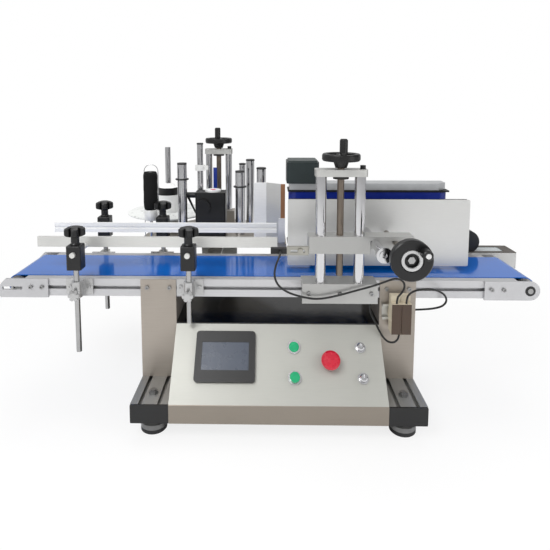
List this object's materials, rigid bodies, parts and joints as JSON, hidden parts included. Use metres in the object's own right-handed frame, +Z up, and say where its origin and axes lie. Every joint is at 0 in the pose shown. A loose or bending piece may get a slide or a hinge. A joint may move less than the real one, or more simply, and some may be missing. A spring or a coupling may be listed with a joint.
{
  "type": "bottle labelling machine",
  "caption": "Desktop wrap-around labelling machine for round bottles, with a belt conveyor, adjustable guides, a press plate, a wrap belt and a lifting label head.",
  "frame": {"origin": "centre of the base on the floor: middle of the bounding box in X and Y, at the feet's undersides", "axes": "+X along the conveyor in the direction of travel, +Y from the operator's side to the back, +Z up"},
  "size_m": [1.258, 0.694, 0.626],
  "materials": {
    "beam": "satin extrusion",
    "black_plastic": "moulded satin",
    "foot": "moulded",
    "stainless": "brushed",
    "panel_steel": "fine brushed",
    "black_lid": "gloss",
    "screen_glass": "gloss",
    "collar_chrome": "polished",
    "green_plastic": "gloss",
    "red_plastic": "gloss",
    "rail": "anodised",
    "plate_alu": "machined",
    "blue_belt": "glossy PVC",
    "screw_chrome": "polished",
    "bracket_alu": "machined",
    "block_alu": "machined",
    "column_chrome": "ground",
    "sensor_steel": "brushed",
    "press_steel": "satin",
    "sponge": "closed-cell sponge",
    "wrap_steel": "satin",
    "wrap_rubber": "smooth",
    "motor_paint": "satin",
    "pulley_alu": "turned",
    "roller_steel": "turned",
    "guide_alu": "anodised",
    "guide_white": "white anodised",
    "head_alu": "machined",
    "roller_alu": "anodised",
    "tray_white": "gloss",
    "paper": "paper",
    "motor_black": "satin",
    "peel_steel": "satin",
    "drive_grey": "satin",
    "relay_cream": "moulded",
    "cable_black": "PVC sheath"
  },
  "bodies": {
    "frame": {"base_beams": "beam", "beam_end_caps": "black_plastic", "levelling_feet": "foot", "uprights": "stainless", "control_box": "panel_steel", "control_box_lid": "black_lid", "hmi_bezel": "black_plastic", "hmi_screen": "screen_glass", "control_collars": "collar_chrome", "conveyor_rails": "rail", "conveyor_bed": "stainless", "end_plates": "plate_alu", "conveyor_belt": "blue_belt", "frame_screws": "screw_chrome", "guide_brackets": "bracket_alu", "stage_bases": "block_alu", "stage_columns": "column_chrome", "stage_top_plates": "block_alu", "wrap_housing": "wrap_steel", "wrap_belt": "wrap_rubber", "wrap_motor": "motor_paint", "drive_box": "drive_grey", "relay_units": "relay_cream", "sensor_cable": "cable_black", "loop_cable": "cable_black", "relay_cable": "cable_black"},
    "belt_drive_roller": {"drive_roller": "roller_steel"},
    "belt_idler_roller": {"idler_roller": "roller_steel"},
    "wrap_drive": {"wrap_drive_pulley": "pulley_alu"},
    "wrap_idler": {"wrap_idler_pulley": "pulley_alu"},
    "front_lift": {"lift_block": "block_alu", "sensor_arm": "sensor_steel"},
    "front_wheel": {"front_handwheel": "black_plastic"},
    "press": {"press_plate": "press_steel", "press_pad": "sponge", "press_guide": "column_chrome"},
    "press_wheel": {"press_handwheel": "black_plastic"},
    "label_head": {"head_plate": "head_alu", "head_posts": "column_chrome", "feed_motor": "motor_black", "peel_plate": "peel_steel"},
    "rear_wheel": {"rear_handwheel": "black_plastic"},
    "reel": {"label_tray": "tray_white", "label_roll": "paper"},
    "foam": {"foam_roller": "sponge"},
    "entry": {"entry_roller": "roller_alu"},
    "exit": {"exit_roller": "roller_alu"},
    "front_posts": {"front_guide_posts": "black_plastic"},
    "front_guide": {"front_guide_rail": "guide_alu"},
    "rear_posts": {"rear_guide_posts": "black_plastic"},
    "rear_guide": {"rear_guide_rail": "guide_white"},
    "knob_fl": {"front_knob_left": "black_plastic"},
    "knob_fr": {"front_knob_right": "black_plastic"},
    "knob_rl": {"rear_knob_left": "black_plastic"},
    "knob_rr": {"rear_knob_right": "black_plastic"},
    "start": {"start_button": "green_plastic"},
    "stop": {"stop_button": "green_plastic"},
    "estop": {"estop_button": "red_plastic"},
    "feed_setting": {"feed_dial": "black_plastic"},
    "speed_setting": {"speed_dial": "black_plastic"}
  },
  "joints": [
    {"name": "belt_drive_spin", "type": "hinge", "parent": "frame", "child": "belt_drive_roller", "pos_m": [0.56, -0.072, 0.28495], "axis": [0, 1, 0], "continuous": true},
    {"name": "belt_idler_spin", "type": "hinge", "parent": "frame", "child": "belt_idler_roller", "pos_m": [-0.598, -0.072, 0.28495], "axis": [0, 1, 0], "continuous": true},
    {"name": "wrap_drive_spin", "type": "hinge", "parent": "frame", "child": "wrap_drive", "pos_m": [0.05005, -0.001, 0.414], "axis": [0, 0, 1], "continuous": true},
    {"name": "wrap_idler_spin", "type": "hinge", "parent": "frame", "child": "wrap_idler", "pos_m": [0.40595, -0.001, 0.414], "axis": [0, 0, 1], "continuous": true},
    {"name": "front_lift_slide", "type": "slide", "parent": "frame", "child": "front_lift", "axis": [0, 0, 1], "range_m": [-0.006, 0.115]},
    {"name": "front_wheel_turn", "type": "hinge", "parent": "frame", "child": "front_wheel", "pos_m": [0.135, -0.186, 0.5], "axis": [0, 0, 1], "range_deg": [-27, 518]},
    {"name": "press_slide", "type": "slide", "parent": "front_lift", "child": "press", "axis": [0, 1, 0], "range_m": [-0.04, 0.03]},
    {"name": "press_wheel_turn", "type": "hinge", "parent": "press", "child": "press_wheel", "pos_m": [0.254, -0.307, 0.399], "axis": [0, 1, 0], "continuous": true},
    {"name": "label_head_slide", "type": "slide", "parent": "frame", "child": "label_head", "axis": [0, 0, 1], "range_m": [-0.008, 0.11]},
    {"name": "rear_wheel_turn", "type": "hinge", "parent": "frame", "child": "rear_wheel", "pos_m": [-0.174, 0.29, 0.5], "axis": [0, 0, 1], "range_deg": [-36, 495]},
    {"name": "reel_spin", "type": "hinge", "parent": "label_head", "child": "reel", "pos_m": [-0.321, 0.228, 0.4], "axis": [0, 0, 1], "continuous": true},
    {"name": "foam_spin", "type": "hinge", "parent": "label_head", "child": "foam", "pos_m": [-0.34, 0.08, 0.45], "axis": [0, 0, 1], "continuous": true},
    {"name": "entry_spin", "type": "hinge", "parent": "label_head", "child": "entry", "pos_m": [-0.256, 0.093, 0.45], "axis": [0, 0, 1], "continuous": true},
    {"name": "exit_spin", "type": "hinge", "parent": "label_head", "child": "exit", "pos_m": [-0.1, 0.128, 0.45], "axis": [0, 0, 1], "continuous": true},
    {"name": "front_guide_lift", "type": "slide", "parent": "frame", "child": "front_posts", "axis": [0, 0, 1], "range_m": [-0.02, 0.03]},
    {"name": "front_guide_reach", "type": "slide", "parent": "front_posts", "child": "front_guide", "axis": [0, 1, 0], "range_m": [-0.02, 0.02]},
    {"name": "rear_guide_lift", "type": "slide", "parent": "frame", "child": "rear_posts", "axis": [0, 0, 1], "range_m": [-0.02, 0.03]},
    {"name": "rear_guide_reach", "type": "slide", "parent": "rear_posts", "child": "rear_guide", "axis": [0, 1, 0], "range_m": [-0.02, 0.004]},
    {"name": "knob_fl_turn", "type": "hinge", "parent": "front_posts", "child": "knob_fl", "pos_m": [-0.445, -0.19, 0.4], "axis": [0, 0, 1], "continuous": true},
    {"name": "knob_fr_turn", "type": "hinge", "parent": "front_posts", "child": "knob_fr", "pos_m": [-0.196, -0.19, 0.4], "axis": [0, 0, 1], "continuous": true},
    {"name": "knob_rl_turn", "type": "hinge", "parent": "rear_posts", "child": "knob_rl", "pos_m": [-0.456, 0.046, 0.41], "axis": [0, 0, 1], "continuous": true},
    {"name": "knob_rr_turn", "type": "hinge", "parent": "rear_posts", "child": "knob_rr", "pos_m": [-0.301, 0.046, 0.41], "axis": [0, 0, 1], "continuous": true},
    {"name": "start_press", "type": "slide", "parent": "frame", "child": "start", "axis": [0, 0.7531, -0.6579], "range_m": [0, 0.0015], "stiffness_N_per_m": 800, "springref_m": -0.001},
    {"name": "stop_press", "type": "slide", "parent": "frame", "child": "stop", "axis": [0, 0.7531, -0.6579], "range_m": [0, 0.004], "stiffness_N_per_m": 600, "springref_m": -0.001},
    {"name": "estop_press", "type": "slide", "parent": "frame", "child": "estop", "axis": [0, 0.7531, -0.6579], "range_m": [0, 0.004], "stiffness_N_per_m": 1500, "springref_m": -0.001},
    {"name": "feed_dial_turn", "type": "hinge", "parent": "frame", "child": "feed_setting", "pos_m": [0.18, -0.20637, 0.16687], "axis": [0, -0.7531, 0.6579], "range_deg": [-150, 150]},
    {"name": "speed_dial_turn", "type": "hinge", "parent": "frame", "child": "speed_setting", "pos_m": [0.18, -0.24782, 0.11942], "axis": [0, -0.7531, 0.6579], "range_deg": [-150, 150]}
  ],
  "couplings": [
    {"joint": "belt_idler_spin", "follows": "belt_drive_spin", "ratio": 1},
    {"joint": "wrap_idler_spin", "follows": "wrap_drive_spin", "ratio": 1},
    {"joint": "front_wheel_turn", "follows": "front_lift_slide", "rad_per_m": 78.54},
    {"joint": "rear_wheel_turn", "follows": "label_head_slide", "rad_per_m": 78.54}
  ]
}
